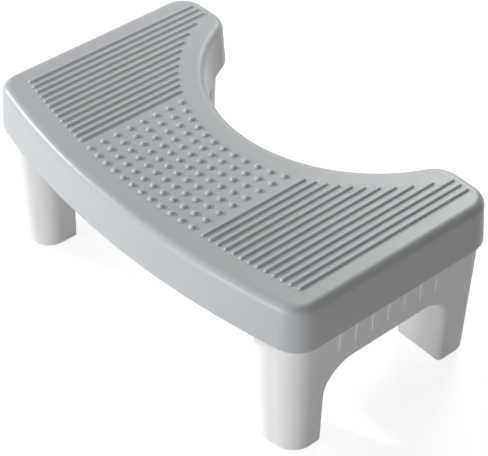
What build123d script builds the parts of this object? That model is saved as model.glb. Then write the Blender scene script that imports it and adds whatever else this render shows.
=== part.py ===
from build123d import *
import os
from math import radians, sqrt, tan

# A crescent footstool that stands round the front of a toilet bowl: a ridged and
# dotted top shell on two arched leg frames, with a pad under each foot.
# Sizes are in millimetres. The origin is on the floor under the middle of the stool,
# +Z is up, the long curved edge faces -Y and the recess for the bowl faces +Y.

# Overall sizes, at the lower edge of the skirt
length = 430.0
depth = 262.0
recess_depth = 105.6  # rear edge to the recess's deepest point, on the middle line
horn_width = 70.0  # end face to the recess, along the rear edge, before the corners are rounded
top_level = 175.0  # floor to the flat of the top

# Outline of the top
front_radius = 847.0
front_corner = 27.0
rear_corner = 28.0
tip_corner = 31.0

# Top shell
skirt_height = 46.0
skirt_draft = 3.56  # degrees, leaning in towards the top
edge_round = 8.5
shell_wall = 3.0
lip_round = 0.9
rib_thickness = 2.0
rib_drop = 9.0
rib_pitch = 44.8
rib_rows = 4  # on the pitch of the screws

# Ridges at each end of the top
ridge_pitch = 8.52
ridge_inner_gap = 14.4  # from the last column of domes
ridge_end_margin = 26.5  # from the end face to the last ridge, at least
ridge_width = 4.0
ridge_rise = 1.8
ridge_front_margin = 28.2
ridge_bowl_margin = 27.6
ridge_rear_margin = 13.5

# Domes in the middle of the top
dome_columns = 12
dome_pitch = 13.0
dome_row_pitch = 13.28
dome_width = 6.9
dome_rise = 2.5
dome_front_margin = 31.0
dome_rear_margin = 30.0  # from the recess to the last row, at least
first_row_radius = 725.0
last_row_radius = 163.0

# Leg frames
fit_clearance = 0.3
leg_setback = 2.0  # leg frame's inner face behind the horn's inner rear corner
leg_corner = 27.0
leg_draft = 2.6  # degrees, leaning in towards the floor
leg_wall = 2.8
foot_floor = 4.0
foot_round = 2.2
arch_front_margin = 35.7  # from the leg frame's outer front corner
arch_rear_margin = 47.7
arch_drop = 42.5  # skirt's lower edge to the arch's crown
arch_corner = 31.0
arch_edge_round = 4.4

# Raised grips on the end face of each leg frame
grip_pitch = 19.0
grip_width = 11.0
grip_height = 24.0
grip_rise = 1.2
grip_offset = 1.2  # the row's middle lies this far behind the arch's middle
grip_corner = 1.5

# Foot pads
pad_thickness = 2.0
pad_proud = 0.8
pad_end_margin = 13.85  # from each side face of the leg frame
pad_width = 22.0
pad_corner = 9.0
pad_clearance = 0.2

# Screws, their posts in the leg frames and their bosses in the top shell
screw_spacing = 57.0
screw_diameter = 3.5
screw_length = 18.0
screw_head_width = 7.0
screw_head_height = 2.4
socket_width = 2.5
socket_depth = 1.5
screw_clearance = 0.2
boss_wall = 2.4
seat_rise = 23.5  # arch's crown to the underside of the screw heads' seats
seat_thickness = 3.0

# One overrun that every through cut shares
overrun = 5.0

# Places worked out from the sizes above
skirt_level = top_level - skirt_height
ceiling_level = top_level - shell_wall
rim_level = ceiling_level - rib_drop
front_centre_y = front_radius - depth / 2
neck_depth = depth - recess_depth
bowl_radius = ((length / 2 - horn_width) ** 2 + recess_depth**2) / (2 * recess_depth)
bowl_centre_y = neck_depth - depth / 2 + bowl_radius
ridge_inner_x = (dome_columns - 1) / 2 * dome_pitch + ridge_inner_gap
ridge_count = int((length / 2 - ridge_end_margin - ridge_inner_x) / ridge_pitch) + 1
dome_rows = int((neck_depth - dome_front_margin - dome_rear_margin) / dome_row_pitch) + 1
ribs_per_side = int((length / 2 - shell_wall) / rib_pitch)
leg_gap = shell_wall + fit_clearance
leg_outer_x = length / 2 - leg_gap
leg_inner_x = length / 2 - horn_width + leg_setback
leg_centre_x = (leg_inner_x + leg_outer_x) / 2
leg_front_y = front_centre_y - sqrt((front_radius - leg_gap) ** 2 - leg_outer_x**2)
foot_level = pad_proud
arch_front_y = leg_front_y + arch_front_margin
arch_rear_y = depth / 2 - leg_gap - arch_rear_margin
arch_length = arch_rear_y - arch_front_y
arch_centre_y = (arch_front_y + arch_rear_y) / 2
arch_top = skirt_level - arch_drop
seat_level = arch_top + seat_rise
grip_count = int((arch_length - grip_width) / grip_pitch)
pad_length = leg_outer_x - leg_inner_x - 2 * pad_end_margin
foot_lean = (skirt_level - foot_level) * tan(radians(leg_draft))
foot_front_y = front_centre_y - sqrt((front_radius - leg_gap - foot_lean) ** 2 - leg_centre_x**2)
foot_rear_y = depth / 2 - leg_gap - foot_lean
pad_places = {"front": (foot_front_y + arch_front_y) / 2, "rear": (foot_rear_y + arch_rear_y) / 2}
boss_width = screw_diameter + 2 * (screw_clearance + boss_wall)
bore_width = screw_head_width + 2 * screw_clearance
post_width = bore_width + 2 * boss_wall

os.makedirs("parts", exist_ok=True)


def draw_top_outline(inset):
    """Draw the crescent at the skirt's lower edge, moved in by inset all round."""
    with Locations((0, depth / 2 - inset)):
        Rectangle(length - 2 * inset, 2 * depth, align=(Align.CENTER, Align.MAX))
    with Locations((0, front_centre_y)):
        Circle(front_radius - inset, mode=Mode.INTERSECT)
    with Locations((0, bowl_centre_y)):
        Circle(bowl_radius + inset, mode=Mode.SUBTRACT)
    fillet(vertices().group_by(Axis.Y)[0], front_corner - inset)
    fillet(vertices().group_by(Axis.Y)[-1].sort_by(Axis.X)[1:3], tip_corner - inset)
    fillet(vertices().group_by(SortBy.DISTANCE)[-1], rear_corner - inset)


def draw_leg_outline(inset):
    """Draw the right leg frame's outline at the skirt's lower edge, moved in by inset."""
    width = leg_outer_x - leg_inner_x - 2 * inset
    with Locations((leg_inner_x + inset, depth / 2 - leg_gap - inset)):
        Rectangle(width, 2 * depth, align=(Align.MIN, Align.MAX))
    with Locations((0, front_centre_y)):
        Circle(front_radius - leg_gap - inset, mode=Mode.INTERSECT)
    fillet(vertices(), leg_corner - inset)


def draw_arch(inset):
    """Draw the arch, moved in by inset; it runs on below the floor."""
    with Locations((arch_centre_y, arch_top - inset)):
        Rectangle(arch_length - 2 * inset, 2 * arch_top, align=(Align.CENTER, Align.MAX))
    fillet(vertices().group_by(Axis.Y)[-1], arch_corner - inset)


def near_ridge_end(x):
    """Where a ridge starts, behind the long curved edge."""
    return front_centre_y - sqrt((front_radius - ridge_front_margin) ** 2 - x**2)


def far_ridge_end(x):
    """Where a ridge stops: short of the recess, or else short of the rear edge."""
    reach = bowl_radius + ridge_bowl_margin
    rear_y = depth / 2 - ridge_rear_margin
    if x >= reach:
        return rear_y
    return min(rear_y, bowl_centre_y - sqrt(reach**2 - x**2))


# Hollow under the top
with BuildPart() as shell_hollow:
    with BuildSketch(Plane.XY.offset(skirt_level)):
        draw_top_outline(shell_wall)
    extrude(amount=skirt_height - shell_wall, taper=skirt_draft)
    fillet(faces().sort_by(Axis.Z)[-1].edges(), edge_round - shell_wall)

# Ribs that cross the hollow and rest on the rims of the leg frames
with BuildPart() as shell_ribs:
    with BuildSketch(Plane.XY.offset(skirt_level)):
        draw_top_outline(shell_wall / 2)
    extrude(amount=skirt_height - shell_wall / 2, taper=skirt_draft)
    fillet(faces().sort_by(Axis.Z)[-1].edges(), edge_round - shell_wall / 2)
    with BuildSketch(Plane.XY.offset(rim_level)):
        with GridLocations(rib_pitch, length, 2 * ribs_per_side + 1, 1):
            Rectangle(rib_thickness, depth)
        with Locations((0, arch_centre_y)):
            with GridLocations(length, screw_spacing, 1, rib_rows):
                Rectangle(length, rib_thickness)
    extrude(amount=rib_drop + shell_wall / 2, mode=Mode.INTERSECT)

# Top shell
screw_places = [
    (side * leg_centre_x, arch_centre_y + row * screw_spacing / 2)
    for side in (-1, 1)
    for row in (-1, 1)
]
with BuildPart() as top_shell:
    with BuildSketch(Plane.XY.offset(skirt_level)):
        draw_top_outline(0)
    extrude(amount=skirt_height, taper=skirt_draft)
    fillet(faces().sort_by(Axis.Z)[-1].edges(), edge_round)
    add(shell_hollow.part, mode=Mode.SUBTRACT)
    fillet(faces().sort_by(Axis.Z)[0].outer_wire().edges(), lip_round)
    add(shell_ribs.part)

    # Screw bosses that hang down to the posts of the leg frames
    boss_height = ceiling_level + shell_wall / 2 - seat_level - seat_thickness
    with Locations(Plane.XY.offset(seat_level + seat_thickness)):
        with Locations(*screw_places):
            Cylinder(boss_width / 2, boss_height, align=(Align.CENTER, Align.CENTER, Align.MIN))
            bore_depth = screw_length - seat_thickness + screw_clearance
            Cylinder(
                screw_diameter / 2 + screw_clearance,
                bore_depth,
                align=(Align.CENTER, Align.CENTER, Align.MIN),
                mode=Mode.SUBTRACT,
            )

    # Ridges, each a rod with round ends that is sunk in the plate
    ridge_radius = (ridge_width**2 / 4 + ridge_rise**2) / (2 * ridge_rise)
    ridge_level = top_level + ridge_rise - ridge_radius
    for step in range(ridge_count):
        x = ridge_inner_x + step * ridge_pitch
        near_y = near_ridge_end(x) + ridge_width / 2
        far_y = far_ridge_end(x) - ridge_width / 2
        for side in (-1, 1):
            with Locations((side * x, near_y, ridge_level)):
                Cylinder(
                    ridge_radius,
                    far_y - near_y,
                    rotation=(-90, 0, 0),
                    align=(Align.CENTER, Align.CENTER, Align.MIN),
                )
                Sphere(ridge_radius)
            with Locations((side * x, far_y, ridge_level)):
                Sphere(ridge_radius)

    # Domes, in rows that bend more and more towards the recess
    dome_radius = (dome_width**2 / 4 + dome_rise**2) / (2 * dome_rise)
    dome_level = top_level + dome_rise - dome_radius
    dome_places = []
    for row in range(dome_rows):
        nearness = row / (dome_rows - 1)
        bend = (1 - nearness) / first_row_radius + nearness / last_row_radius
        for column in range(dome_columns):
            x = (column - (dome_columns - 1) / 2) * dome_pitch
            y = dome_front_margin - depth / 2 + row * dome_row_pitch + bend * x**2 / 2
            dome_places.append((x, y, dome_level))
    with Locations(*dome_places):
        Sphere(dome_radius, arc_size1=0, align=(Align.CENTER, Align.CENTER, Align.MIN))
top_shell.part.label = "top_shell"
export_step(top_shell.part, "parts/top_shell.step")

# Hollow of a leg frame: open at the rim, closed at the feet and round the arch
with BuildPart() as leg_hollow:
    with BuildSketch(Plane.XY.offset(skirt_level)):
        draw_leg_outline(leg_wall)
    extrude(amount=foot_level + foot_floor - skirt_level, taper=leg_draft)
    with BuildSketch(Plane.XY.offset(skirt_level)):
        draw_leg_outline(leg_wall)
    extrude(amount=rim_level - skirt_level, taper=skirt_draft)
    with BuildSketch(Plane.YZ):
        draw_arch(-leg_wall)
    extrude(amount=length / 2, mode=Mode.SUBTRACT)
    # Posts that carry the screw heads
    with Locations(Plane.XY.offset(arch_top)):
        with Locations(*[place for place in screw_places if place[0] > 0]):
            Cylinder(
                post_width / 2,
                seat_level + seat_thickness - arch_top,
                align=(Align.CENTER, Align.CENTER, Align.MIN),
                mode=Mode.SUBTRACT,
            )

# Grips on the end face, cut from a slightly larger copy of the leg frame's outline
with BuildPart() as grips:
    with BuildSketch(Plane.XY.offset(skirt_level - fit_clearance)):
        draw_leg_outline(-grip_rise)
    extrude(amount=-grip_height, taper=leg_draft)
    with BuildSketch(Plane.YZ.offset(leg_outer_x - leg_wall)):
        with Locations((arch_centre_y + grip_offset, skirt_level - fit_clearance - grip_height / 2)):
            with GridLocations(grip_pitch, grip_height, grip_count, 1):
                RectangleRounded(grip_width, grip_height, grip_corner)
    extrude(amount=leg_wall + overrun, mode=Mode.INTERSECT)

# Right leg frame
with BuildPart() as leg_frame_right:
    with BuildSketch(Plane.XY.offset(skirt_level)):
        draw_leg_outline(0)
    extrude(amount=foot_level - skirt_level, taper=leg_draft)
    with BuildSketch(Plane.XY.offset(skirt_level)):
        draw_leg_outline(0)
    extrude(amount=rim_level - skirt_level, taper=skirt_draft)
    with BuildSketch(Plane.YZ):
        draw_arch(0)
    extrude(amount=length / 2, mode=Mode.SUBTRACT)
    arch_ceiling = faces().filter_by(Axis.Z).group_by(Axis.Z)[1][0]
    fillet(arch_ceiling.edges().filter_by(Axis.Y), arch_edge_round)
    fillet(faces().filter_by(Axis.Z).group_by(Axis.Z)[0].edges(), foot_round)
    add(leg_hollow.part, mode=Mode.SUBTRACT)
    add(grips.part)
    for place in screw_places:
        if place[0] > 0:
            with BuildSketch(Plane.XY.offset(arch_top - overrun)):
                with Locations(place):
                    Circle(bore_width / 2)
            extrude(amount=seat_level - arch_top + overrun, mode=Mode.SUBTRACT)
            with BuildSketch(Plane.XY.offset(seat_level)):
                with Locations(place):
                    Circle(screw_diameter / 2 + screw_clearance)
            extrude(amount=seat_thickness + overrun, mode=Mode.SUBTRACT)
    with BuildSketch(Plane.XY):
        for pad_y in pad_places.values():
            with Locations((leg_centre_x, pad_y)):
                RectangleRounded(
                    pad_length + 2 * pad_clearance,
                    pad_width + 2 * pad_clearance,
                    pad_corner + pad_clearance,
                )
    extrude(amount=pad_thickness, mode=Mode.SUBTRACT)
leg_frame_right.part.label = "leg_frame_right"
export_step(leg_frame_right.part, "parts/leg_frame_right.step")

# Left leg frame, the right one's mirror image
with BuildPart() as leg_frame_left:
    mirror(leg_frame_right.part, about=Plane.YZ)
leg_frame_left.part.label = "leg_frame_left"
export_step(leg_frame_left.part, "parts/leg_frame_left.step")

# Foot pads, sunk in the undersides of the feet
for side_name, side in (("left", -1), ("right", 1)):
    for row_name, pad_y in pad_places.items():
        with BuildPart() as foot_pad:
            with BuildSketch(Plane.XY):
                with Locations((side * leg_centre_x, pad_y)):
                    RectangleRounded(pad_length, pad_width, pad_corner)
            extrude(amount=pad_thickness)
            fillet(faces().sort_by(Axis.Z)[0].edges(), pad_proud / 2)
        foot_pad.part.label = f"foot_pad_{row_name}_{side_name}"
        export_step(foot_pad.part, f"parts/foot_pad_{row_name}_{side_name}.step")

# Screws, driven up through the seats in the posts into the bosses
for side_name, side in (("left", -1), ("right", 1)):
    with BuildPart() as screws:
        with BuildSketch(Plane.XY.offset(seat_level - screw_head_height)):
            with Locations(*[place for place in screw_places if place[0] * side > 0]):
                Circle(screw_head_width / 2)
        extrude(amount=screw_head_height)
        fillet(faces().group_by(Axis.Z)[0].edges(), screw_head_height / 3)
        with BuildSketch(Plane.XY.offset(seat_level - screw_head_height)):
            with Locations(*[place for place in screw_places if place[0] * side > 0]):
                RegularPolygon(socket_width / 2, 6, major_radius=False)
        extrude(amount=socket_depth, mode=Mode.SUBTRACT)
        with BuildSketch(Plane.XY.offset(seat_level)):
            with Locations(*[place for place in screw_places if place[0] * side > 0]):
                Circle(screw_diameter / 2)
        extrude(amount=screw_length)
        chamfer(faces().group_by(Axis.Z)[-1].edges(), screw_diameter / 8)
    screws.part.label = f"screws_{side_name}"
    export_step(screws.part, f"parts/screws_{side_name}.step")
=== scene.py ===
"""Crescent footstool: a ridged and dotted light grey top on two white arched leg frames.

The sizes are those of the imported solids. The top is worked out again as one smooth
surface, and the other solids take moulded, rubber and plated finishes.
"""
from math import radians, sqrt, tan

import bpy
import numpy as np
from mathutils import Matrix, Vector


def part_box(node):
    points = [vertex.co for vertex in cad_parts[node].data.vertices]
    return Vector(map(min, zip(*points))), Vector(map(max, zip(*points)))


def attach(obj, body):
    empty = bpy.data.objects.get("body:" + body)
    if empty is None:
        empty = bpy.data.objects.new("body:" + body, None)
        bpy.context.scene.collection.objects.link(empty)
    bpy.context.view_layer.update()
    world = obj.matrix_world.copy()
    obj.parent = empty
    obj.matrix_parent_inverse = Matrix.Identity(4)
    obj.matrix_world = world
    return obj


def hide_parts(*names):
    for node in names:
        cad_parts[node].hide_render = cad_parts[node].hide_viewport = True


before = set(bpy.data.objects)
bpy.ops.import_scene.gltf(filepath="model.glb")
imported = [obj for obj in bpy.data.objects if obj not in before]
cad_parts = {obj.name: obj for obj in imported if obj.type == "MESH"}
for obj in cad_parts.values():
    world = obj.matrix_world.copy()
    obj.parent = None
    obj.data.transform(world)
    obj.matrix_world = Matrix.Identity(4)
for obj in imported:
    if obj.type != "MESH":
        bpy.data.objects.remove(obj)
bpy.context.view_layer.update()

bl_info = {
    "name": "Crescent Footstool",
    "version": (1, 0, 0),
    "blender": (4, 5, 0),
    "location": "View3D > Sidebar > Footstool",
    "description": "Dresses a crescent footstool with a ridged and dotted top on two arched leg frames",
    "category": "Object",
}

BODY = "root"

# Cells of the top's grid along each side of a dome's block, and columns round each outer corner
DOME_CELLS = 6
CORNER_COLUMNS = 9

# Columns across a ridge, in half widths from its middle line
RIDGE_FLANK = np.array([0.275, 0.525, 0.725, 0.875, 1.0, 1.2])
RIDGE_COLUMNS = np.concatenate([-RIDGE_FLANK[::-1], [0.0], RIDGE_FLANK])

# Rows at the end of a ridge, in half widths from it, and rings of a dome, in half widths
RIDGE_END_ROWS = np.array([-0.3, 0.05, 0.3, 0.6, 0.95, 1.35, 1.9])
DOME_RINGS = np.array([0.25, 0.48, 0.67, 0.82, 0.93, 1.0, 1.06, 1.17])

# Rows of the plain margins, as shares of the way from the flat's rim to the ridges or domes
RIDGE_MARGIN_ROWS = np.array([0.0, 0.12, 0.5])
DOME_MARGIN_ROWS = np.array([0.0, 0.08, 0.35, 0.7])

# Steps of the shell's section: upper edge, skirt, lip, inner wall, inner round
EDGE_STEPS = 10
SKIRT_STEPS = 6
LIP_STEPS = 6
INNER_WALL_STEPS = 3
INNER_ROUND_STEPS = 6

# Side view of a rib's end: inset in walls, and depth under the top in walls and in rib heights
RIB_END = np.array([[1.4, 1.0, 1.0], [1.55, 1.0, 0.45], [2.35, 0.8, 0.0]])

# An x far from every column, for columns that no ridge touches
NO_RIDGE = 1.0

# Turn between faces of the top past which their edge is shaded sharp
SHARP_TURN = radians(50)

# Range that nearly all of a noise texture's values lie in
NOISE_LOW, NOISE_HIGH = 0.3, 0.7


def length_property(name, description, default):
    """A property for one length of the object."""
    return bpy.props.FloatProperty(
        name=name, description=description, default=default, unit="LENGTH", subtype="DISTANCE"
    )


def count_property(name, description, default):
    """A property for a number of features."""
    return bpy.props.IntProperty(name=name, description=description, default=default, min=1)


def colour_property(name, description, default):
    """A property for one colour of the object."""
    return bpy.props.FloatVectorProperty(
        name=name, description=description, default=default, subtype="COLOR", size=3, min=0.0, max=1.0
    )


def place_property(name, description, default):
    """A property for one place in the studio."""
    return bpy.props.FloatVectorProperty(
        name=name, description=description, default=default, subtype="XYZ", unit="LENGTH"
    )


def power_property(name, description, default):
    """A property for the power of one lamp."""
    return bpy.props.FloatProperty(name=name, description=description, default=default, min=0.0, unit="POWER")


def strength_property(name, description, default):
    """A property for a strength of light from 0 to 1."""
    return bpy.props.FloatProperty(
        name=name, description=description, default=default, min=0.0, max=1.0, subtype="FACTOR"
    )


class FootstoolOutline(bpy.types.PropertyGroup):
    """Outline and section of the top shell."""

    # Length and depth are 4 micrometres under the solids' 430 and 262 mm, to stay in their box
    length: length_property("Length", "End face to end face, at the skirt's lower edge", 0.429996)
    depth: length_property("Depth", "Front edge to the rear edge, at the skirt's lower edge", 0.261996)
    recess_depth: length_property("Recess depth", "Rear edge to the recess's deepest point", 0.1056)
    horn_width: length_property("Horn width", "End face to the recess, along the rear edge", 0.070)
    front_radius: length_property("Front radius", "Radius of the long curved edge", 0.847)
    front_corner: length_property("Front corner", "Radius of the two front corners", 0.027)
    rear_corner: length_property("Rear corner", "Radius of the two rear outer corners", 0.028)
    tip_corner: length_property("Tip corner", "Radius of the corners beside the recess", 0.031)
    top_level: length_property("Top level", "Floor to the flat of the top", 0.175)
    skirt_height: length_property("Skirt height", "Height of the skirt", 0.046)
    skirt_draft: bpy.props.FloatProperty(
        name="Skirt draft",
        description="Lean of the skirt, inwards to the top",
        default=radians(3.56),
        subtype="ANGLE",
        unit="ROTATION",
    )
    edge_round: length_property("Edge round", "Radius of the rounded upper edge", 0.0085)
    shell_wall: length_property("Wall", "Thickness of the shell", 0.003)
    lip_round: length_property("Lip round", "Radius of the skirt's lower outer edge", 0.0009)
    rib_pitch: length_property("Rib pitch", "Spacing of the ribs under the top, along the length", 0.0448)
    rib_rows: count_property("Rib rows", "Ribs that run along the length", 4)
    rib_row_pitch: length_property("Rib row pitch", "Spacing of the rib rows, about the screws", 0.057)
    rib_drop: length_property("Rib drop", "Height of the ribs under the top", 0.009)
    rib_thickness: length_property("Rib thickness", "Thickness of the ribs under the top", 0.002)


class FootstoolTread(bpy.types.PropertyGroup):
    """Ridges and domes that stand on the top."""

    ridge_count: count_property("Ridges", "Ridges at each end", 13)
    ridge_pitch: length_property("Ridge pitch", "Spacing of the ridges", 0.00852)
    ridge_inner_gap: length_property("Ridge gap", "Last column of domes to the first ridge", 0.0144)
    ridge_width: length_property("Ridge width", "Width of a ridge at the plate", 0.004)
    ridge_rise: length_property("Ridge rise", "Height of a ridge above the plate", 0.0018)
    ridge_front_margin: length_property("Ridge front margin", "Long curved edge to the ridges", 0.0282)
    ridge_bowl_margin: length_property("Ridge recess margin", "Recess to the ridges", 0.0276)
    ridge_rear_margin: length_property("Ridge rear margin", "Rear edge to the ridges", 0.0135)
    ridge_room: length_property("Ridge room", "Least way from a ridge to the rounded edge", 0.0026)
    dome_columns: count_property("Dome columns", "Columns of domes", 12)
    dome_rows: count_property("Dome rows", "Rows of domes", 8)
    dome_pitch: length_property("Dome pitch", "Spacing of the domes along the length", 0.013)
    dome_row_pitch: length_property("Dome row pitch", "Spacing of the rows on the middle line", 0.01328)
    dome_width: length_property("Dome width", "Width of a dome at the plate", 0.0069)
    dome_rise: length_property("Dome rise", "Height of a dome above the plate", 0.0025)
    dome_front_margin: length_property("Dome front margin", "Long curved edge to the first row", 0.031)
    first_row_radius: length_property("First row radius", "Bend of the front row", 0.725)
    last_row_radius: length_property("Last row radius", "Bend of the row beside the recess", 0.163)
    foot_blend: length_property("Foot blend", "Softness of the foot of a ridge or dome", 0.00035)


class FootstoolFinish(bpy.types.PropertyGroup):
    """Colours and grain of the finishes."""

    top_colour: colour_property("Top plastic", "Colour of the top shell", (0.475, 0.494, 0.506))
    leg_colour: colour_property("Leg plastic", "Colour of the leg frames", (0.845, 0.849, 0.84))
    pad_colour: colour_property("Pad rubber", "Colour of the foot pads", (0.33, 0.34, 0.345))
    steel_colour: colour_property("Plated steel", "Colour of the screws", (0.62, 0.62, 0.60))
    grain_size: length_property("Grain size", "Size of the moulded grain", 0.0006)


class FootstoolStudio(bpy.types.PropertyGroup):
    """Lamps, floor and camera."""

    side_power: power_property("Side lamp", "Power of the small lamp at the left", 76.0)
    side_width: length_property("Side lamp width", "Width of the side lamp", 0.16)
    side_place: place_property("Side lamp place", "Where the side lamp stands", (-2.69, -1.3, 1.5))
    front_power: power_property("Front lamp", "Power of the low soft lamp before the front", 9.2)
    front_width: length_property("Front lamp width", "Width of the front lamp", 0.6)
    front_place: place_property("Front lamp place", "Where the front lamp stands", (-0.22, -1.5, 0.35))
    corner_power: power_property("Corner lamp", "Power of the low soft lamp at the right front", 4.8)
    corner_width: length_property("Corner lamp width", "Width of the corner lamp", 0.5)
    corner_place: place_property("Corner lamp place", "Where the corner lamp stands", (0.9, -1.2, 0.4))
    rear_power: power_property("Rear lamp", "Power of the soft lamp above the recess", 5.5)
    rear_width: length_property("Rear lamp width", "Width of the rear lamp", 0.5)
    rear_place: place_property("Rear lamp place", "Where the rear lamp stands", (-0.3, 0.75, 0.75))
    lamp_target: place_property("Lamp target", "What all lamps are turned to", (0.0, 0.0, 0.12))
    sky_strength: strength_property("Sky strength", "Strength of the even light all round", 0.07)
    floor_colour: colour_property("Floor", "Colour of the floor under the lamps", (0.45, 0.45, 0.45))
    floor_size: length_property("Floor size", "Width of the pale floor", 8.0)
    near_glow: strength_property("Near glow", "Whiteness added to the seen floor round the object", 0.8)
    glow_start: length_property("Glow start", "Distance out where the floor starts to turn white", 0.45)
    glow_end: length_property("Glow end", "Distance out from where the floor is white", 1.6)
    camera_place: place_property("Camera place", "Where the camera stands", (0.9821, -0.8212, 1.1732))
    camera_turn: bpy.props.FloatVectorProperty(
        name="Camera turn",
        description="How the camera is turned",
        default=(radians(49.34), 0.0, radians(49.34)),
        subtype="EULER",
        unit="ROTATION",
    )
    camera_lens: bpy.props.FloatProperty(
        name="Lens",
        description="Focal length on a 36 mm sensor",
        default=133.4,
        subtype="DISTANCE_CAMERA",
    )


def smooth_max(a, b, width):
    """The larger of two heights, with the crease between them rounded.

    Formula: max(a, b) + h * h * width / 4, where h falls from 1 at a = b to 0 where the
    heights are width apart.
    """
    h = np.clip(1.0 - np.abs(a - b) / width, 0.0, None)
    return np.maximum(a, b) + h * h * width / 4.0


def bump_height(distance, width, rise, blend):
    """Height over the plate of a round bump, from the distance to its middle.

    Formula: a circle arc of the given width at the plate and the given rise; its radius is
    (width * width / 4 + rise * rise) / (2 * rise), with a rounded crease at the foot.
    """
    radius = (width * width / 4.0 + rise * rise) / (2.0 * rise)
    arc = np.sqrt(np.clip(radius**2 - distance**2, 0.0, None)) - (radius - rise)
    return smooth_max(arc, np.zeros_like(arc), blend)


class Crescent:
    """The crescent outline of the top, moved in by any inset, as edges over x."""

    def __init__(self, size):
        self.half_length = size.length / 2
        self.rear_y = size.depth / 2
        self.front_radius = size.front_radius
        self.front_centre_y = size.front_radius - size.depth / 2
        chord = size.length / 2 - size.horn_width
        self.bowl_radius = (chord**2 + size.recess_depth**2) / (2 * size.recess_depth)
        self.bowl_centre_y = size.depth / 2 - size.recess_depth + self.bowl_radius
        self.front_corner = size.front_corner
        self.front_corner_x = self.half_length - self.front_corner
        front_reach = self.front_radius - self.front_corner
        self.front_corner_y = self.front_centre_y - sqrt(front_reach**2 - self.front_corner_x**2)
        self.rear_corner = size.rear_corner
        self.rear_corner_x = self.half_length - self.rear_corner
        self.rear_corner_y = self.rear_y - self.rear_corner
        self.tip_corner = size.tip_corner
        self.tip_corner_y = self.rear_y - self.tip_corner
        tip_reach = self.bowl_radius + self.tip_corner
        self.tip_corner_x = sqrt(tip_reach**2 - (self.bowl_centre_y - self.tip_corner_y) ** 2)

    def front(self, x, inset):
        """y and outward normal of the front edge: the long arc, then a corner arc."""
        side = np.where(x < 0, -1.0, 1.0)
        off_middle = np.abs(x)
        radius = self.front_radius - inset
        drop = np.sqrt(radius**2 - off_middle**2)
        corner = self.front_corner - inset
        dx = np.clip(off_middle - self.front_corner_x, -corner, corner)
        corner_drop = np.sqrt(np.clip(corner**2 - dx**2, 0.0, None))
        on_arc = off_middle <= radius * self.front_corner_x / (self.front_radius - self.front_corner)
        y = np.where(on_arc, self.front_centre_y - drop, self.front_corner_y - corner_drop)
        nx = np.where(on_arc, off_middle / radius, dx / corner) * side
        ny = -np.where(on_arc, drop / radius, corner_drop / corner)
        return y, np.stack([nx, ny], -1)

    def back(self, x, inset):
        """y and outward normal of the rear edge: recess arc, tip arc, straight, corner arc."""
        side = np.where(x < 0, -1.0, 1.0)
        off_middle = np.abs(x)
        bowl = self.bowl_radius + inset
        bowl_drop = np.sqrt(np.clip(bowl**2 - off_middle**2, 0.0, None))
        tip = self.tip_corner - inset
        tip_dx = np.clip(off_middle - self.tip_corner_x, -tip, tip)
        tip_rise = np.sqrt(np.clip(tip**2 - tip_dx**2, 0.0, None))
        corner = self.rear_corner - inset
        dx = np.clip(off_middle - self.rear_corner_x, -corner, corner)
        rise = np.sqrt(np.clip(corner**2 - dx**2, 0.0, None))
        bowl_end = bowl * self.tip_corner_x / (self.bowl_radius + self.tip_corner)
        where = [off_middle <= bowl_end, off_middle <= self.tip_corner_x, off_middle <= self.rear_corner_x]
        one, zero = np.ones_like(off_middle), np.zeros_like(off_middle)
        levels = [self.bowl_centre_y - bowl_drop, self.tip_corner_y + tip_rise, (self.rear_y - inset) * one]
        y = np.select(where, levels, self.rear_corner_y + rise)
        nx = np.select(where, [-off_middle / bowl, tip_dx / tip, zero], dx / corner) * side
        ny = np.select(where, [bowl_drop / bowl, tip_rise / tip, one], rise / corner)
        return y, np.stack([nx, ny], -1)


def near_end(x, crescent, tread):
    """y where a ridge starts: an arc that runs beside the long curved edge."""
    radius = crescent.front_radius - tread.ridge_front_margin
    return crescent.front_centre_y - np.sqrt(radius**2 - np.minimum(x, crescent.half_length) ** 2)


def far_end(x, crescent, tread):
    """y where a ridge stops: on an arc round the recess, or short of the rear edge."""
    reach = crescent.bowl_radius + tread.ridge_bowl_margin
    arc = crescent.bowl_centre_y - np.sqrt(np.clip(reach**2 - x**2, 0.0, None))
    rear = crescent.rear_y - tread.ridge_rear_margin
    return np.where(x >= reach, rear, np.minimum(rear, arc))


def interleave(shared, banded):
    """Values of the columns between ridges, each followed by those across the next ridge."""
    return np.append(np.column_stack([shared[:-1], banded]).ravel(), shared[-1])


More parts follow.
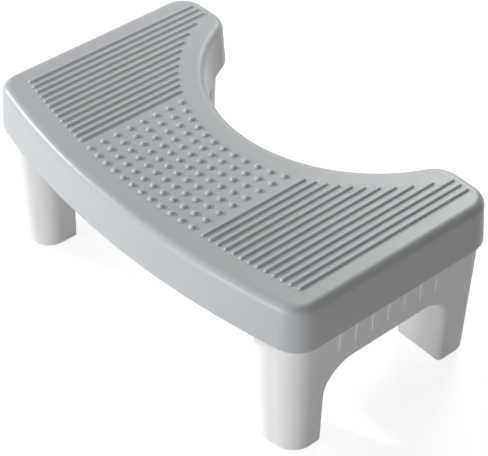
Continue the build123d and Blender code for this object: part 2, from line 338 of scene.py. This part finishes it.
def top_columns(tread, crescent, corner):
    """x of each column of the top's grid, with the ends and the middle line of its ridge.

    Columns are an even sixth of a dome's pitch in the middle, gather at the flanks of
    each ridge, and run out along the corner arcs as centre + radius * sin(angle). Both ends
    are infinite in the middle, and the middle line wherever a column belongs to no ridge.
    """
    half_zone = tread.dome_columns / 2 * tread.dome_pitch
    middle = np.linspace(-half_zone, half_zone, DOME_CELLS * tread.dome_columns + 1)
    first = (tread.dome_columns - 1) / 2 * tread.dome_pitch + tread.ridge_inner_gap
    centres = first + np.arange(tread.ridge_count) * tread.ridge_pitch
    across = np.zeros(len(RIDGE_COLUMNS))
    shared_x = np.append(first - tread.ridge_pitch / 2, centres + tread.ridge_pitch / 2)
    near_c = near_end(centres, crescent, tread)
    far_c = far_end(centres, crescent, tread)
    shared_far = np.concatenate([far_c[:1], (far_c[1:] + far_c[:-1]) / 2, far_c[-1:]])
    x = interleave(shared_x, centres[:, None] + RIDGE_COLUMNS * (tread.ridge_width / 2))
    near = interleave(near_end(shared_x, crescent, tread), near_c[:, None] + across)
    far = interleave(shared_far, far_c[:, None] + across)
    ridge_x = interleave(np.full(len(shared_x), np.inf), centres[:, None] + across)

    start = np.arcsin((x[-1] - crescent.front_corner_x) / corner)
    turn = np.linspace(start, np.pi / 2, CORNER_COLUMNS + 1)[1:]
    x = np.append(x, crescent.front_corner_x + corner * np.sin(turn))
    near, far, ridge_x = (np.pad(values, (0, CORNER_COLUMNS), "edge") for values in (near, far, ridge_x))
    none = np.full(len(middle), np.inf)
    return (
        np.concatenate([-x[::-1], middle, x]),
        np.concatenate([near[::-1], none, near]),
        np.concatenate([far[::-1], none, far]),
        np.concatenate([-ridge_x[::-1], none, ridge_x]),
    )


def dotted_rows(tread, crescent, columns, front_y, back_y):
    """y of the rows over the dotted middle: margin, six cells for each row of domes, margin.

    Formula: a row is bend * x * x / 2 behind its place on the middle line, and bend goes
    evenly from the first row's to the last row's.
    """
    row = np.linspace(-0.5, tread.dome_rows - 0.5, DOME_CELLS * tread.dome_rows + 1)
    nearness = row / (tread.dome_rows - 1)
    bend = (1 - nearness) / tread.first_row_radius + nearness / tread.last_row_radius
    first_row = tread.dome_front_margin - crescent.rear_y
    zone = first_row + row * tread.dome_row_pitch + bend * columns[:, None] ** 2 / 2
    before = front_y[:, None] + (zone[:, :1] - front_y[:, None]) * DOME_MARGIN_ROWS
    behind = back_y[:, None] - (back_y[:, None] - zone[:, -1:]) * DOME_MARGIN_ROWS[::-1]
    return np.concatenate([before, zone, behind], 1)


def ridged_rows(tread, front_y, near, far, back_y, count):
    """y of the rows over the ridged ends: margin, ridge end, long middle, ridge end, margin."""
    ends = RIDGE_END_ROWS * tread.ridge_width / 2
    begin, finish = near + ends[0], far - ends[0]
    start, stop = near + ends[-1], far - ends[-1]
    middle_count = count - 2 * (len(RIDGE_MARGIN_ROWS) + len(ends))
    inner = np.linspace(0.0, 1.0, middle_count + 2)[1:-1]
    parts = [
        front_y[:, None] + (begin - front_y)[:, None] * RIDGE_MARGIN_ROWS,
        near[:, None] + ends,
        start[:, None] + (stop - start)[:, None] * inner,
        far[:, None] - ends[::-1],
        back_y[:, None] - (back_y - finish)[:, None] * RIDGE_MARGIN_ROWS[::-1],
    ]
    return np.concatenate(parts, 1)


def ridge_height(tread, x, y, near, far, ridge_x):
    """Height of the ridges over the plate.

    Formula: a ridge is a rod with round ends, so its height is the bump's at the distance to
    its middle line, which stops half a ridge's width short of both ends.
    """
    half_width = tread.ridge_width / 2
    middle_x = np.where(np.isfinite(ridge_x), ridge_x, NO_RIDGE)
    past_near = (near + half_width)[:, None] - y
    past_far = y - (far - half_width)[:, None]
    along = np.clip(np.maximum(past_near, past_far), 0.0, None)
    along = np.where(np.isfinite(along), along, 0.0)
    distance = np.hypot(x - middle_x[:, None], along)
    return bump_height(distance, tread.ridge_width, tread.ridge_rise, tread.foot_blend)


def dome_caps(tread, top, flat, index, first_column):
    """Points and faces of the domes: a crown each, and rings out to its block of cells.

    A ring's points lie on the lines from the crown to the points of the block's rim.
    """
    steps = np.arange(DOME_CELLS)
    full, none = np.full_like(steps, DOME_CELLS), np.zeros_like(steps)
    rim_i = np.concatenate([steps, full, DOME_CELLS - steps, none])
    rim_j = np.concatenate([none, steps, full, DOME_CELLS - steps])
    block_i, block_j = np.indices((tread.dome_columns, tread.dome_rows)).reshape(2, -1, 1)
    first_i = first_column + DOME_CELLS * block_i
    first_j = len(DOME_MARGIN_ROWS) + DOME_CELLS * block_j
    rim = index[first_i + rim_i, first_j + rim_j]
    middle = index[first_i + DOME_CELLS // 2, first_j + DOME_CELLS // 2].ravel()
    centre = flat[middle, :2]
    away = flat[rim, :2] - centre[:, None]
    direction = away / np.linalg.norm(away, axis=-1, keepdims=True)
    ring = DOME_RINGS * tread.dome_width / 2
    ring_xy = centre[:, None, None] + ring[:, None, None] * direction[:, None]
    level = top + bump_height(ring, tread.dome_width, tread.dome_rise, tread.foot_blend)
    ring_z = np.broadcast_to(level[:, None, None], ring_xy.shape[:3] + (1,))
    crown = np.column_stack([centre, np.full(len(centre), top + tread.dome_rise)])
    points = np.concatenate([crown, np.concatenate([ring_xy, ring_z], -1).reshape(-1, 3)])

    ring_index = len(flat) + len(crown) + np.arange(ring_z.size).reshape(ring_z.shape[:3])
    hoops = np.concatenate([ring_index, rim[:, None]], 1)
    turned = np.roll(hoops, -1, axis=2)
    quads = np.stack([hoops[:, :-1], hoops[:, 1:], turned[:, 1:], turned[:, :-1]], -1).reshape(-1, 4)
    apex = len(flat) + np.arange(len(crown))[:, None] + np.zeros_like(rim)
    fans = np.stack([apex, hoops[:, 0], turned[:, 0]], -1).reshape(-1, 3)
    return points, quads, fans


def arc_stations(inset, level, radius, start, stop, steps):
    """Stations on a circle arc: (inset - radius * sin(angle), level + radius * cos(angle))."""
    angle = np.linspace(start, stop, steps + 1)
    return np.column_stack([inset - radius * np.sin(angle), level + radius * np.cos(angle)])


def section_line(size, slope, lean, flat_inset):
    """The shell's section as (inset, level) stations, from the flat's rim out, down, in and up.

    The upper edge, the lip and the inner round are circle arcs. The skirt and its inner
    wall are straight and lean by the draft: inset = height over the lower edge * slope.
    """
    top, wall, lip = size.top_level, size.shell_wall, size.lip_round
    lean_angle = np.pi / 2 - size.skirt_draft
    edge = arc_stations(flat_inset, top - size.edge_round, size.edge_round, 0.0, lean_angle, EDGE_STEPS)
    low = top - size.skirt_height
    lip_inset = (lip + lip * np.sin(size.skirt_draft)) / np.cos(size.skirt_draft)
    lip_line = arc_stations(lip_inset, low + lip, lip, lean_angle, np.pi, LIP_STEPS)
    levels = np.linspace(edge[-1, 1], lip_line[0, 1], SKIRT_STEPS + 1)[1:-1]
    skirt = np.column_stack([(levels - low) * slope, levels])
    inner_r = size.edge_round - wall
    inner_inset = wall + (size.skirt_height - wall) * slope + inner_r * lean
    inner_level = top - wall - inner_r
    inner_round = arc_stations(inner_inset, inner_level, inner_r, lean_angle, 0.0, INNER_ROUND_STEPS)
    levels = np.linspace(low, inner_round[0, 1], INNER_WALL_STEPS + 1)[:-1]
    inner_wall = np.column_stack([wall + (levels - low) * slope, levels])
    return np.concatenate([edge[1:], skirt, lip_line, inner_wall, inner_round])


def hang_section(flat, index, front_n, back_n, section, flat_inset, base):
    """Points and faces of the section, carried round the flat's rim along its outward normal."""
    count, rows = index.shape
    # The rim runs counter-clockwise, seen from above
    rim = np.concatenate([index[:, 0], index[-1, 1:-1], index[::-1, -1], index[0, -2:0:-1]])
    right = np.tile([[1.0, 0.0]], (rows - 2, 1))
    normal = np.concatenate([front_n, right, back_n[::-1], -right])
    loop_xy = flat[rim, :2] + (flat_inset - section[:, :1])[:, :, None] * normal
    loop_z = np.broadcast_to(section[:, 1:, None], loop_xy.shape[:2] + (1,))
    points = np.concatenate([loop_xy, loop_z], -1).reshape(-1, 3)
    loops = np.concatenate([rim[None], base + np.arange(loop_z.size).reshape(loop_z.shape[:2])])
    turned = np.roll(loops, -1, axis=1)
    quads = np.stack([loops[:-1], loops[1:], turned[1:], turned[:-1]], -1).reshape(-1, 4)

    # Ceiling: one long face for each pair of columns, and one many-sided face at each end
    corners = np.cumsum([count, rows - 2, count])
    front_line, right_line, back_line, left_line = np.split(loops[-1], corners)
    back_line = back_line[::-1]
    next_back, next_front = np.roll(back_line, -1), np.roll(front_line, -1)
    ceiling = np.stack([front_line, back_line, next_back, next_front], -1)[1:-2]
    right_end = np.concatenate([front_line[-2:-1], back_line[-2:], right_line[::-1], front_line[-1:]])
    left_end = np.concatenate([back_line[1:2], front_line[1::-1], left_line[::-1], back_line[:1]])
    return points, np.concatenate([quads, ceiling]), [right_end[None], left_end[None]]


def top_surface(size, tread):
    """Points and faces of the whole top shell, outside and in.

    The flat of the top is a grid of columns over x and rows from the front edge to the rear
    edge, raised by the ridges. Round each dome the grid turns into rings about its middle.
    From the flat's rim the section is carried round the outline: rounded edge, leaning
    skirt, lip, inner wall, inner round.
    """
    crescent = Crescent(size)
    slope = tan(size.skirt_draft)
    lean = tan((np.pi / 2 - size.skirt_draft) / 2)
    flat_inset = size.skirt_height * slope + size.edge_round * lean
    columns, near, far, ridge_x = top_columns(tread, crescent, size.front_corner - flat_inset)
    front_y, front_n = crescent.front(columns, flat_inset)
    back_y, back_n = crescent.back(columns, flat_inset)
    near = np.maximum(near, front_y + tread.ridge_room)
    far = np.minimum(far, back_y - tread.ridge_room)

    in_middle = np.isinf(near)
    side = ~in_middle
    y = dotted_rows(tread, crescent, columns, front_y, back_y)
    y[side] = ridged_rows(tread, front_y[side], near[side], far[side], back_y[side], y.shape[1])
    x = np.repeat(columns[:, None], y.shape[1], 1)
    z = size.top_level + ridge_height(tread, x, y, near, far, ridge_x)
    flat = np.stack([x, y, z], -1).reshape(-1, 3)
    index = np.arange(x.size).reshape(x.shape)
    quads = np.stack([index[:-1, :-1], index[1:, :-1], index[1:, 1:], index[:-1, 1:]], -1)

    first_column, first_row = int(np.argmax(in_middle)), len(DOME_MARGIN_ROWS)
    plain = np.ones(quads.shape[:2], dtype=bool)
    dotted_i = slice(first_column, first_column + DOME_CELLS * tread.dome_columns)
    dotted_j = slice(first_row, first_row + DOME_CELLS * tread.dome_rows)
    plain[dotted_i, dotted_j] = False
    domes, dome_quads, fans = dome_caps(tread, size.top_level, flat, index, first_column)

    section = section_line(size, slope, lean, flat_inset)
    base = len(flat) + len(domes)
    shell, shell_quads, ends = hang_section(flat, index, front_n, back_n, section, flat_inset, base)
    faces = [np.concatenate([quads[plain], dome_quads, shell_quads]), fans, *ends]
    return np.concatenate([flat, domes, shell]), faces, crescent


def rib_plate(start, stop, level, place, half, axis):
    """Both outlines of a rib: its side view, moved half the thickness each way along an axis."""
    side = np.concatenate([np.column_stack([start, level]), np.column_stack([stop, level])[::-1]])
    return np.stack([np.insert(side, axis, value, axis=1) for value in (place - half, place + half)])


def rib_surface(size, crescent, screws_y):
    """Points and faces of the ribs under the top, each an eight-sided plate sunk in the walls.

    A rib's side view is a line of (inset from the edge, level) points at both ends; the
    plate is that outline moved half the thickness to each side.
    """
    half = size.rib_thickness / 2
    inset = RIB_END[:, 0] * size.shell_wall
    level = size.top_level - RIB_END[:, 1] * size.shell_wall - RIB_END[:, 2] * size.rib_drop
    per_side = int((size.length / 2 - size.shell_wall) / size.rib_pitch)
    plates = []
    for x in np.arange(-per_side, per_side + 1) * size.rib_pitch:
        here = np.full_like(inset, x)
        start, stop = crescent.front(here, inset)[0], crescent.back(here, inset)[0]
        plates.append(rib_plate(start, stop, level, x, half, 0))
    row = np.arange(size.rib_rows) - (size.rib_rows - 1) / 2
    for y in screws_y + size.rib_row_pitch * row:
        reach = crescent.bowl_radius + inset
        inner = np.sqrt(np.clip(reach**2 - (crescent.bowl_centre_y - y) ** 2, 0.0, None))
        outer = crescent.half_length - inset
        spans = [(-outer, outer)] if inner[0] == 0.0 else [(-outer, -inner), (inner, outer)]
        plates += [rib_plate(start, stop, level, y, -half, 1) for start, stop in spans]
    points = np.array(plates)
    index = np.arange(points.size // 3).reshape(points.shape[:3])
    turned = np.roll(index, -1, axis=2)
    sides = np.stack([index[:, 0], turned[:, 0], turned[:, 1], index[:, 1]], -1).reshape(-1, 4)
    caps = np.concatenate([index[:, 0, ::-1], index[:, 1]])
    return points.reshape(-1, 3), [sides, caps]


def build_mesh(name, points, faces, sharp_turn):
    """Put worked-out points and faces into a smooth-shaded mesh, leaving out unused points."""
    used = np.unique(np.concatenate([np.asarray(group).ravel() for group in faces]))
    renumber = np.zeros(len(points), dtype=np.int64)
    renumber[used] = np.arange(len(used))
    lists = []
    for group in faces:
        lists += renumber[np.asarray(group)].tolist()
    mesh = bpy.data.meshes.new(name)
    mesh.from_pydata(np.asarray(points)[used], [], lists)
    mesh.shade_smooth()
    mesh.set_sharp_from_angle(angle=sharp_turn)
    piece = bpy.data.objects.new(name, mesh)
    bpy.context.scene.collection.objects.link(piece)
    return piece


def new_material(name, colour, roughness):
    """A node material with its plain values on the shader."""
    material = bpy.data.materials.new(name)
    material.use_nodes = True
    shader = material.node_tree.nodes["Principled BSDF"]
    shader.inputs["Base Color"].default_value = (*colour, 1.0)
    shader.inputs["Roughness"].default_value = roughness
    return material, shader


def add_node(material, kind, **values):
    """A node with its input sockets set by name."""
    node = material.node_tree.nodes.new(kind)
    for name, value in values.items():
        node.inputs[name.replace("_", " ")].default_value = value
    return node


def object_noise(material, place, **values):
    """A noise texture on Object coordinates."""
    noise = add_node(material, "ShaderNodeTexNoise", **values)
    material.node_tree.links.new(place.outputs["Object"], noise.inputs["Vector"])
    return noise


def uneven_gloss(material, shader, noise, low, high):
    """Let a noise swing the roughness between two values."""
    gloss = add_node(
        material, "ShaderNodeMapRange", From_Min=NOISE_LOW, From_Max=NOISE_HIGH, To_Min=low, To_Max=high
    )
    material.node_tree.links.new(noise.outputs["Fac"], gloss.inputs["Value"])
    material.node_tree.links.new(gloss.outputs["Result"], shader.inputs["Roughness"])


def moulded_plastic(name, colour, roughness, grain, mottle, bump):
    """Moulded plastic: faint cloudy colour, uneven gloss, a fine grain, and long soft ripples.

    Colour runs a little lighter and darker in soft clouds, roughness follows a coarser
    grain, and the bump adds a fine grain to a slow ripple of the mould.
    """
    material, shader = new_material(name, colour, roughness)
    links = material.node_tree.links
    place = material.node_tree.nodes.new("ShaderNodeTexCoord")
    clouds = object_noise(material, place, Scale=38.0, Detail=4.0, Roughness=0.55)
    tint = material.node_tree.nodes.new("ShaderNodeMix")
    tint.data_type = "RGBA"
    tint.inputs["A"].default_value = (*[c * (1.0 - mottle) for c in colour], 1.0)
    tint.inputs["B"].default_value = (*[min(1.0, c * (1.0 + mottle)) for c in colour], 1.0)
    links.new(clouds.outputs["Fac"], tint.inputs["Factor"])
    links.new(tint.outputs["Result"], shader.inputs["Base Color"])
    rub = object_noise(material, place, Scale=95.0, Detail=5.0, Roughness=0.65, Distortion=0.4)
    uneven_gloss(material, shader, rub, roughness - 0.05, roughness + 0.06)
    ripple = object_noise(material, place, Scale=14.0, Detail=1.0)
    slow = add_node(material, "ShaderNodeBump", Strength=0.12, Distance=0.0006)
    links.new(ripple.outputs["Fac"], slow.inputs["Height"])
    fine = object_noise(material, place, Scale=1.0 / grain, Detail=3.0, Roughness=0.6)
    grainy = add_node(material, "ShaderNodeBump", Strength=bump, Distance=grain * 0.25)
    links.new(fine.outputs["Fac"], grainy.inputs["Height"])
    links.new(slow.outputs["Normal"], grainy.inputs["Normal"])
    links.new(grainy.outputs["Normal"], shader.inputs["Normal"])
    shader.inputs["Specular IOR Level"].default_value = 0.45
    return material


def plated_steel(name, colour, roughness):
    """Plated steel: uneven gloss and fine scratches."""
    material, shader = new_material(name, colour, roughness)
    shader.inputs["Metallic"].default_value = 1.0
    links = material.node_tree.links
    place = material.node_tree.nodes.new("ShaderNodeTexCoord")
    dull = object_noise(material, place, Scale=900.0, Detail=4.0, Roughness=0.6)
    uneven_gloss(material, shader, dull, roughness - 0.07, roughness + 0.1)
    scratch = add_node(material, "ShaderNodeBump", Strength=0.25, Distance=0.00004)
    links.new(dull.outputs["Fac"], scratch.inputs["Height"])
    links.new(scratch.outputs["Normal"], shader.inputs["Normal"])
    return material


def dress_nodes(names, material):
    """Give CAD nodes one finish."""
    for name in names:
        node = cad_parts[name]
        if not node.material_slots:
            node.data.materials.append(material)
        for slot in node.material_slots:
            slot.material = material


class FOOTSTOOL_OT_top_shell(bpy.types.Operator):
    """Work out the ridged and dotted top shell as one smooth surface"""

    bl_idname = "footstool.top_shell"
    bl_label = "Top Shell"

    def execute(self, context):
        scene = context.scene
        size, tread, finish = scene.footstool_outline, scene.footstool_tread, scene.footstool_finish
        points, faces, crescent = top_surface(size, tread)
        screw_low, screw_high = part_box("screws_right")
        rib_points, rib_faces = rib_surface(size, crescent, (screw_low.y + screw_high.y) / 2)
        faces += [group + len(points) for group in rib_faces]
        piece = build_mesh("ridged_top", np.concatenate([points, rib_points]), faces, SHARP_TURN)
        plastic = moulded_plastic(
            "light_grey_plastic",
            tuple(finish.top_colour),
            roughness=0.38,
            grain=finish.grain_size,
            mottle=0.02,
            bump=0.3,
        )
        piece.data.materials.append(plastic)
        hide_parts("top_shell")
        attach(piece, BODY)
        return {"FINISHED"}


class FOOTSTOOL_OT_leg_frames(bpy.types.Operator):
    """Give the two leg frames their white moulded plastic"""

    bl_idname = "footstool.leg_frames"
    bl_label = "Leg Frames"

    def execute(self, context):
        finish = context.scene.footstool_finish
        plastic = moulded_plastic(
            "white_plastic",
            tuple(finish.leg_colour),
            roughness=0.42,
            grain=finish.grain_size,
            mottle=0.012,
            bump=0.22,
        )
        dress_nodes(["leg_frame_left", "leg_frame_right"], plastic)
        return {"FINISHED"}


class FOOTSTOOL_OT_foot_pads(bpy.types.Operator):
    """Give the four foot pads their dull rubber"""

    bl_idname = "footstool.foot_pads"
    bl_label = "Foot Pads"

    def execute(self, context):
        finish = context.scene.footstool_finish
        rubber = moulded_plastic(
            "grey_rubber",
            tuple(finish.pad_colour),
            roughness=0.75,
            grain=finish.grain_size * 0.7,
            mottle=0.05,
            bump=0.6,
        )
        dress_nodes([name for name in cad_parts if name.startswith("foot_pad")], rubber)
        return {"FINISHED"}


class FOOTSTOOL_OT_screws(bpy.types.Operator):
    """Give the screws their plated steel"""

    bl_idname = "footstool.screws"
    bl_label = "Screws"

    def execute(self, context):
        finish = context.scene.footstool_finish
        steel = plated_steel("plated_steel", tuple(finish.steel_colour), roughness=0.32)
        dress_nodes(["screws_left", "screws_right"], steel)
        return {"FINISHED"}


def math_output(nodes, links, operation, first, second):
    """Output of a Math node on two sockets."""
    node = nodes.new("ShaderNodeMath")
    node.operation = operation
    links.new(first, node.inputs[0])
    links.new(second, node.inputs[1])
    return node.outputs["Value"]


def seen_rays(nodes, links):
    """Socket that is 1 for rays straight from the camera, from a gloss or through glass."""
    rays = nodes.new("ShaderNodeLightPath")
    total = rays.outputs["Is Camera Ray"]
    for name in ("Is Glossy Ray", "Is Transmission Ray"):
        total = math_output(nodes, links, "MAXIMUM", total, rays.outputs[name])
    return total


def add_floor(scene, studio):
    """Lay a pale floor that looks white away from the object and keeps the shadow near it."""
    half = studio.floor_size / 2
    mesh = bpy.data.meshes.new("floor")
    corners = [(-half, -half, 0), (half, -half, 0), (half, half, 0), (-half, half, 0)]
    mesh.from_pydata(corners, [], [(0, 1, 2, 3)])
    floor = bpy.data.objects.new("floor", mesh)
    scene.collection.objects.link(floor)
    paint, shader = new_material("pale_floor", tuple(studio.floor_colour), roughness=0.8)
    nodes, links = paint.node_tree.nodes, paint.node_tree.links
    place = nodes.new("ShaderNodeTexCoord")
    distance = nodes.new("ShaderNodeVectorMath")
    distance.operation = "LENGTH"
    links.new(place.outputs["Object"], distance.inputs[0])
    reach = add_node(
        paint,
        "ShaderNodeMapRange",
        From_Min=studio.glow_start,
        From_Max=studio.glow_end,
        To_Min=studio.near_glow,
    )
    reach.interpolation_type = "SMOOTHSTEP"
    links.new(distance.outputs["Value"], reach.inputs["Value"])
    shown = math_output(nodes, links, "MULTIPLY", reach.outputs["Result"], seen_rays(nodes, links))
    glow = add_node(paint, "ShaderNodeEmission")
    links.new(shown, glow.inputs["Strength"])
    both = nodes.new("ShaderNodeAddShader")
    links.new(shader.outputs["BSDF"], both.inputs[0])
    links.new(glow.outputs["Emission"], both.inputs[1])
    links.new(both.outputs["Shader"], nodes["Material Output"].inputs["Surface"])
    floor.data.materials.append(paint)


def add_sky(scene, studio):
    """Surround the scene with weak even light that is seen as white."""
    world = bpy.data.worlds.new("even_light")
    scene.world = world
    world.use_nodes = True
    nodes, links = world.node_tree.nodes, world.node_tree.links
    background = nodes["Background"]
    background.inputs["Color"].default_value = (1.0, 1.0, 1.0, 1.0)
    strength = nodes.new("ShaderNodeMapRange")
    strength.inputs["To Min"].default_value = studio.sky_strength
    links.new(seen_rays(nodes, links), strength.inputs["Value"])
    links.new(strength.outputs["Result"], background.inputs["Strength"])


def add_lamps(scene, studio):
    """Hang the four square lamps, turned to the object."""
    for name in ("side", "front", "corner", "rear"):
        lamp = bpy.data.lights.new(name + "_lamp", "AREA")
        lamp.shape = "SQUARE"
        lamp.size = getattr(studio, name + "_width")
        lamp.energy = getattr(studio, name + "_power")
        stand = bpy.data.objects.new(name + "_lamp", lamp)
        stand.location = getattr(studio, name + "_place")
        aim = Vector(studio.lamp_target) - stand.location
        stand.rotation_euler = aim.to_track_quat("-Z", "Y").to_euler()
        scene.collection.objects.link(stand)


def add_camera(scene, studio):
    """Stand the camera at the photo's angle."""
    lens = bpy.data.cameras.new("camera")
    lens.lens = studio.camera_lens
    lens.sensor_width = 36.0
    camera = bpy.data.objects.new("camera", lens)
    camera.location = studio.camera_place
    camera.rotation_euler = studio.camera_turn
    scene.collection.objects.link(camera)
    scene.camera = camera


class FOOTSTOOL_OT_studio(bpy.types.Operator):
    """Set up the pale floor, the soft lamps and the camera"""

    bl_idname = "footstool.studio"
    bl_label = "Studio"

    def execute(self, context):
        scene = context.scene
        studio = scene.footstool_studio
        add_floor(scene, studio)
        add_sky(scene, studio)
        add_lamps(scene, studio)
        add_camera(scene, studio)
        scene.view_settings.view_transform = "Standard"
        return {"FINISHED"}


class FOOTSTOOL_PT_panel(bpy.types.Panel):
    """Lists the steps that dress the footstool"""

    bl_idname = "FOOTSTOOL_PT_panel"
    bl_label = "Footstool"
    bl_space_type = "VIEW_3D"
    bl_region_type = "UI"
    bl_category = "Footstool"

    def draw(self, context):
        scene = context.scene
        for group in ("footstool_outline", "footstool_tread", "footstool_finish", "footstool_studio"):
            settings = getattr(scene, group)
            box = self.layout.box()
            for name in settings.__annotations__:
                box.prop(settings, name)
        for step in STEPS:
            self.layout.operator(step.bl_idname)


STEPS = (
    FOOTSTOOL_OT_top_shell,
    FOOTSTOOL_OT_leg_frames,
    FOOTSTOOL_OT_foot_pads,
    FOOTSTOOL_OT_screws,
    FOOTSTOOL_OT_studio,
)
GROUPS = (FootstoolOutline, FootstoolTread, FootstoolFinish, FootstoolStudio)


def register():
    """Register the classes and hang the property groups on the scene."""
    for item in (*GROUPS, *STEPS, FOOTSTOOL_PT_panel):
        bpy.utils.register_class(item)
    bpy.types.Scene.footstool_outline = bpy.props.PointerProperty(type=FootstoolOutline)
    bpy.types.Scene.footstool_tread = bpy.props.PointerProperty(type=FootstoolTread)
    bpy.types.Scene.footstool_finish = bpy.props.PointerProperty(type=FootstoolFinish)
    bpy.types.Scene.footstool_studio = bpy.props.PointerProperty(type=FootstoolStudio)


def unregister():
    """Take the property groups off the scene and unregister the classes."""
    del bpy.types.Scene.footstool_studio
    del bpy.types.Scene.footstool_finish
    del bpy.types.Scene.footstool_tread
    del bpy.types.Scene.footstool_outline
    for item in (FOOTSTOOL_PT_panel, *reversed(STEPS), *reversed(GROUPS)):
        bpy.utils.unregister_class(item)


def main():
    register()
    bpy.ops.footstool.top_shell()
    bpy.ops.footstool.leg_frames()
    bpy.ops.footstool.foot_pads()
    bpy.ops.footstool.screws()
    bpy.ops.footstool.studio()


if __name__ == "__main__":
    main()
